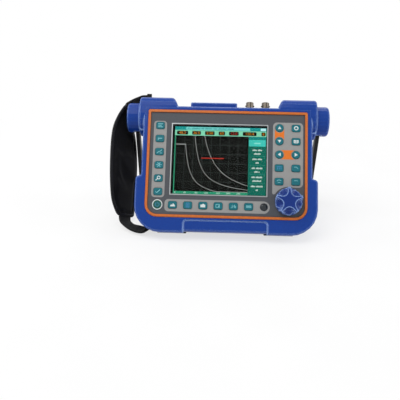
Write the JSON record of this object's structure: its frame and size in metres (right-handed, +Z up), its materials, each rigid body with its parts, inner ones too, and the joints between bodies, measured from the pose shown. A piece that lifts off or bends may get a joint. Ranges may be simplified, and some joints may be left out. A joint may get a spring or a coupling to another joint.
{
  "type": "ultrasonic flaw detector",
  "caption": "Portable ultrasonic test instrument in a leaning moulded case, with a screen, push keys, rotary knob, folding stand and padded side hand strap.",
  "frame": {"origin": "centre of the rubber sole under the stand's cross bar, on the table, in the middle plane of the case", "axes": "+X to the instrument's right as seen by its user, +Y away from the user, +Z up"},
  "size_m": [0.2735, 0.139, 0.1521],
  "materials": {
    "case_blue": "satin blue moulded plastic with a fine pearl",
    "knob_blue": "satin blue moulded plastic",
    "trim_orange": "satin orange",
    "panel_grey": "fine matte grey",
    "screen_frame": "brushed",
    "window": "clear polished window",
    "display_can": "plain",
    "key_caps": "satin teal",
    "circuit_board": "green solder mask",
    "black_plastic": "satin black",
    "white_plastic": "natural white",
    "lamp_lens": "dark smoked lens",
    "battery_wrap": "shrink wrap",
    "stand_black": "black powder coat",
    "steel": "bright turned",
    "rubber": "matte black",
    "jack_nickel": "nickel plated",
    "strap_fabric": "black woven nylon"
  },
  "bodies": {
    "case": {"battery_cover": "case_blue", "battery_pack": "battery_wrap", "bnc_receive": "jack_nickel", "bnc_transmit": "jack_nickel", "encoder_body": "black_plastic", "foot_left": "rubber", "foot_right": "rubber", "friction_washer_left": "steel", "friction_washer_right": "steel", "front_housing": "case_blue", "front_panel": "panel_grey", "keypad_board": "circuit_board", "lcd_module": "display_can", "left_hub": "case_blue", "main_board": "circuit_board", "pivot_pin_left": "steel", "pivot_pin_right": "steel", "port_block": "black_plastic", "port_pin": "steel", "rear_housing": "case_blue", "right_hub": "case_blue", "screen_frame": "screen_frame", "screen_window": "window", "sounder": "black_plastic", "status_lamp": "lamp_lens", "strap_bottom_web": "strap_fabric", "strap_pad": "strap_fabric", "strap_pin": "steel", "strap_staple": "black_plastic", "strap_top_web": "strap_fabric", "trim_ring": "trim_orange"},
    "stand": {"stand_bail": "stand_black", "stand_foot": "rubber"},
    "encoder_rotor": {"encoder_rotor": "white_plastic"},
    "knob": {"knob": "knob_blue", "knob_shaft": "steel"},
    "port_cover": {"port_cover": "case_blue"},
    "arrow_down": {"arrow_down": "key_caps"},
    "arrow_left": {"arrow_left": "key_caps"},
    "arrow_right": {"arrow_right": "key_caps"},
    "arrow_up": {"arrow_up": "key_caps"},
    "key_bottom_1": {"key_bottom_1": "key_caps"},
    "key_bottom_2": {"key_bottom_2": "key_caps"},
    "key_bottom_3": {"key_bottom_3": "key_caps"},
    "key_bottom_4": {"key_bottom_4": "key_caps"},
    "key_bottom_5": {"key_bottom_5": "key_caps"},
    "key_bottom_6": {"key_bottom_6": "key_caps"},
    "key_left_1": {"key_left_1": "key_caps"},
    "key_left_2": {"key_left_2": "key_caps"},
    "key_left_3": {"key_left_3": "key_caps"},
    "key_left_4": {"key_left_4": "key_caps"},
    "key_left_5": {"key_left_5": "key_caps"},
    "key_left_6": {"key_left_6": "key_caps"},
    "key_power": {"key_power": "key_caps"},
    "key_right_1": {"key_right_1": "key_caps"},
    "key_right_2": {"key_right_2": "key_caps"},
    "key_right_3": {"key_right_3": "key_caps"},
    "key_right_4": {"key_right_4": "key_caps"},
    "key_right_5": {"key_right_5": "key_caps"},
    "key_right_6": {"key_right_6": "key_caps"}
  },
  "joints": [
    {"name": "stand_fold", "type": "hinge", "parent": "case", "child": "stand", "pos_m": [0, -0.0332, 0.1239], "axis": [-1, 0, 0], "range_deg": [0, 33]},
    {"name": "encoder_turn", "type": "hinge", "parent": "case", "child": "encoder_rotor", "pos_m": [0.0756, -0.11215, 0.04639], "axis": [0, 0.8387, -0.5446], "continuous": true},
    {"name": "knob_push", "type": "slide", "parent": "encoder_rotor", "child": "knob", "axis": [0, 0.8387, -0.5446], "range_m": [0, 0.0006], "stiffness_N_per_m": 900, "springref_m": -0.0012},
    {"name": "port_cover_open", "type": "hinge", "parent": "case", "child": "port_cover", "pos_m": [-0.018, -0.01505, 0.12356], "axis": [-1, 0, 0], "range_deg": [0, 95]},
    {"name": "arrow_down_press", "type": "slide", "parent": "case", "child": "arrow_down", "axis": [0, 0.8387, -0.5446], "range_m": [0, 0.0008], "stiffness_N_per_m": 500, "springref_m": -0.0008},
    {"name": "arrow_left_press", "type": "slide", "parent": "case", "child": "arrow_left", "axis": [0, 0.8387, -0.5446], "range_m": [0, 0.0008], "stiffness_N_per_m": 500, "springref_m": -0.0008},
    {"name": "arrow_right_press", "type": "slide", "parent": "case", "child": "arrow_right", "axis": [0, 0.8387, -0.5446], "range_m": [0, 0.0008], "stiffness_N_per_m": 500, "springref_m": -0.0008},
    {"name": "arrow_up_press", "type": "slide", "parent": "case", "child": "arrow_up", "axis": [0, 0.8387, -0.5446], "range_m": [0, 0.0008], "stiffness_N_per_m": 500, "springref_m": -0.0008},
    {"name": "key_bottom_1_press", "type": "slide", "parent": "case", "child": "key_bottom_1", "axis": [0, 0.8387, -0.5446], "range_m": [0, 0.0008], "stiffness_N_per_m": 500, "springref_m": -0.0008},
    {"name": "key_bottom_2_press", "type": "slide", "parent": "case", "child": "key_bottom_2", "axis": [0, 0.8387, -0.5446], "range_m": [0, 0.0008], "stiffness_N_per_m": 500, "springref_m": -0.0008},
    {"name": "key_bottom_3_press", "type": "slide", "parent": "case", "child": "key_bottom_3", "axis": [0, 0.8387, -0.5446], "range_m": [0, 0.0008], "stiffness_N_per_m": 500, "springref_m": -0.0008},
    {"name": "key_bottom_4_press", "type": "slide", "parent": "case", "child": "key_bottom_4", "axis": [0, 0.8387, -0.5446], "range_m": [0, 0.0008], "stiffness_N_per_m": 500, "springref_m": -0.0008},
    {"name": "key_bottom_5_press", "type": "slide", "parent": "case", "child": "key_bottom_5", "axis": [0, 0.8387, -0.5446], "range_m": [0, 0.0008], "stiffness_N_per_m": 500, "springref_m": -0.0008},
    {"name": "key_bottom_6_press", "type": "slide", "parent": "case", "child": "key_bottom_6", "axis": [0, 0.8387, -0.5446], "range_m": [0, 0.0008], "stiffness_N_per_m": 500, "springref_m": -0.0008},
    {"name": "key_left_1_press", "type": "slide", "parent": "case", "child": "key_left_1", "axis": [0, 0.8387, -0.5446], "range_m": [0, 0.0008], "stiffness_N_per_m": 500, "springref_m": -0.0008},
    {"name": "key_left_2_press", "type": "slide", "parent": "case", "child": "key_left_2", "axis": [0, 0.8387, -0.5446], "range_m": [0, 0.0008], "stiffness_N_per_m": 500, "springref_m": -0.0008},
    {"name": "key_left_3_press", "type": "slide", "parent": "case", "child": "key_left_3", "axis": [0, 0.8387, -0.5446], "range_m": [0, 0.0008], "stiffness_N_per_m": 500, "springref_m": -0.0008},
    {"name": "key_left_4_press", "type": "slide", "parent": "case", "child": "key_left_4", "axis": [0, 0.8387, -0.5446], "range_m": [0, 0.0008], "stiffness_N_per_m": 500, "springref_m": -0.0008},
    {"name": "key_left_5_press", "type": "slide", "parent": "case", "child": "key_left_5", "axis": [0, 0.8387, -0.5446], "range_m": [0, 0.0008], "stiffness_N_per_m": 500, "springref_m": -0.0008},
    {"name": "key_left_6_press", "type": "slide", "parent": "case", "child": "key_left_6", "axis": [0, 0.8387, -0.5446], "range_m": [0, 0.0008], "stiffness_N_per_m": 500, "springref_m": -0.0008},
    {"name": "key_power_press", "type": "slide", "parent": "case", "child": "key_power", "axis": [0, 0.8387, -0.5446], "range_m": [0, 0.0008], "stiffness_N_per_m": 500, "springref_m": -0.0008},
    {"name": "key_right_1_press", "type": "slide", "parent": "case", "child": "key_right_1", "axis": [0, 0.8387, -0.5446], "range_m": [0, 0.0008], "stiffness_N_per_m": 500, "springref_m": -0.0008},
    {"name": "key_right_2_press", "type": "slide", "parent": "case", "child": "key_right_2", "axis": [0, 0.8387, -0.5446], "range_m": [0, 0.0008], "stiffness_N_per_m": 500, "springref_m": -0.0008},
    {"name": "key_right_3_press", "type": "slide", "parent": "case", "child": "key_right_3", "axis": [0, 0.8387, -0.5446], "range_m": [0, 0.0008], "stiffness_N_per_m": 500, "springref_m": -0.0008},
    {"name": "key_right_4_press", "type": "slide", "parent": "case", "child": "key_right_4", "axis": [0, 0.8387, -0.5446], "range_m": [0, 0.0008], "stiffness_N_per_m": 500, "springref_m": -0.0008},
    {"name": "key_right_5_press", "type": "slide", "parent": "case", "child": "key_right_5", "axis": [0, 0.8387, -0.5446], "range_m": [0, 0.0008], "stiffness_N_per_m": 500, "springref_m": -0.0008},
    {"name": "key_right_6_press", "type": "slide", "parent": "case", "child": "key_right_6", "axis": [0, 0.8387, -0.5446], "range_m": [0, 0.0008], "stiffness_N_per_m": 500, "springref_m": -0.0008}
  ]
}
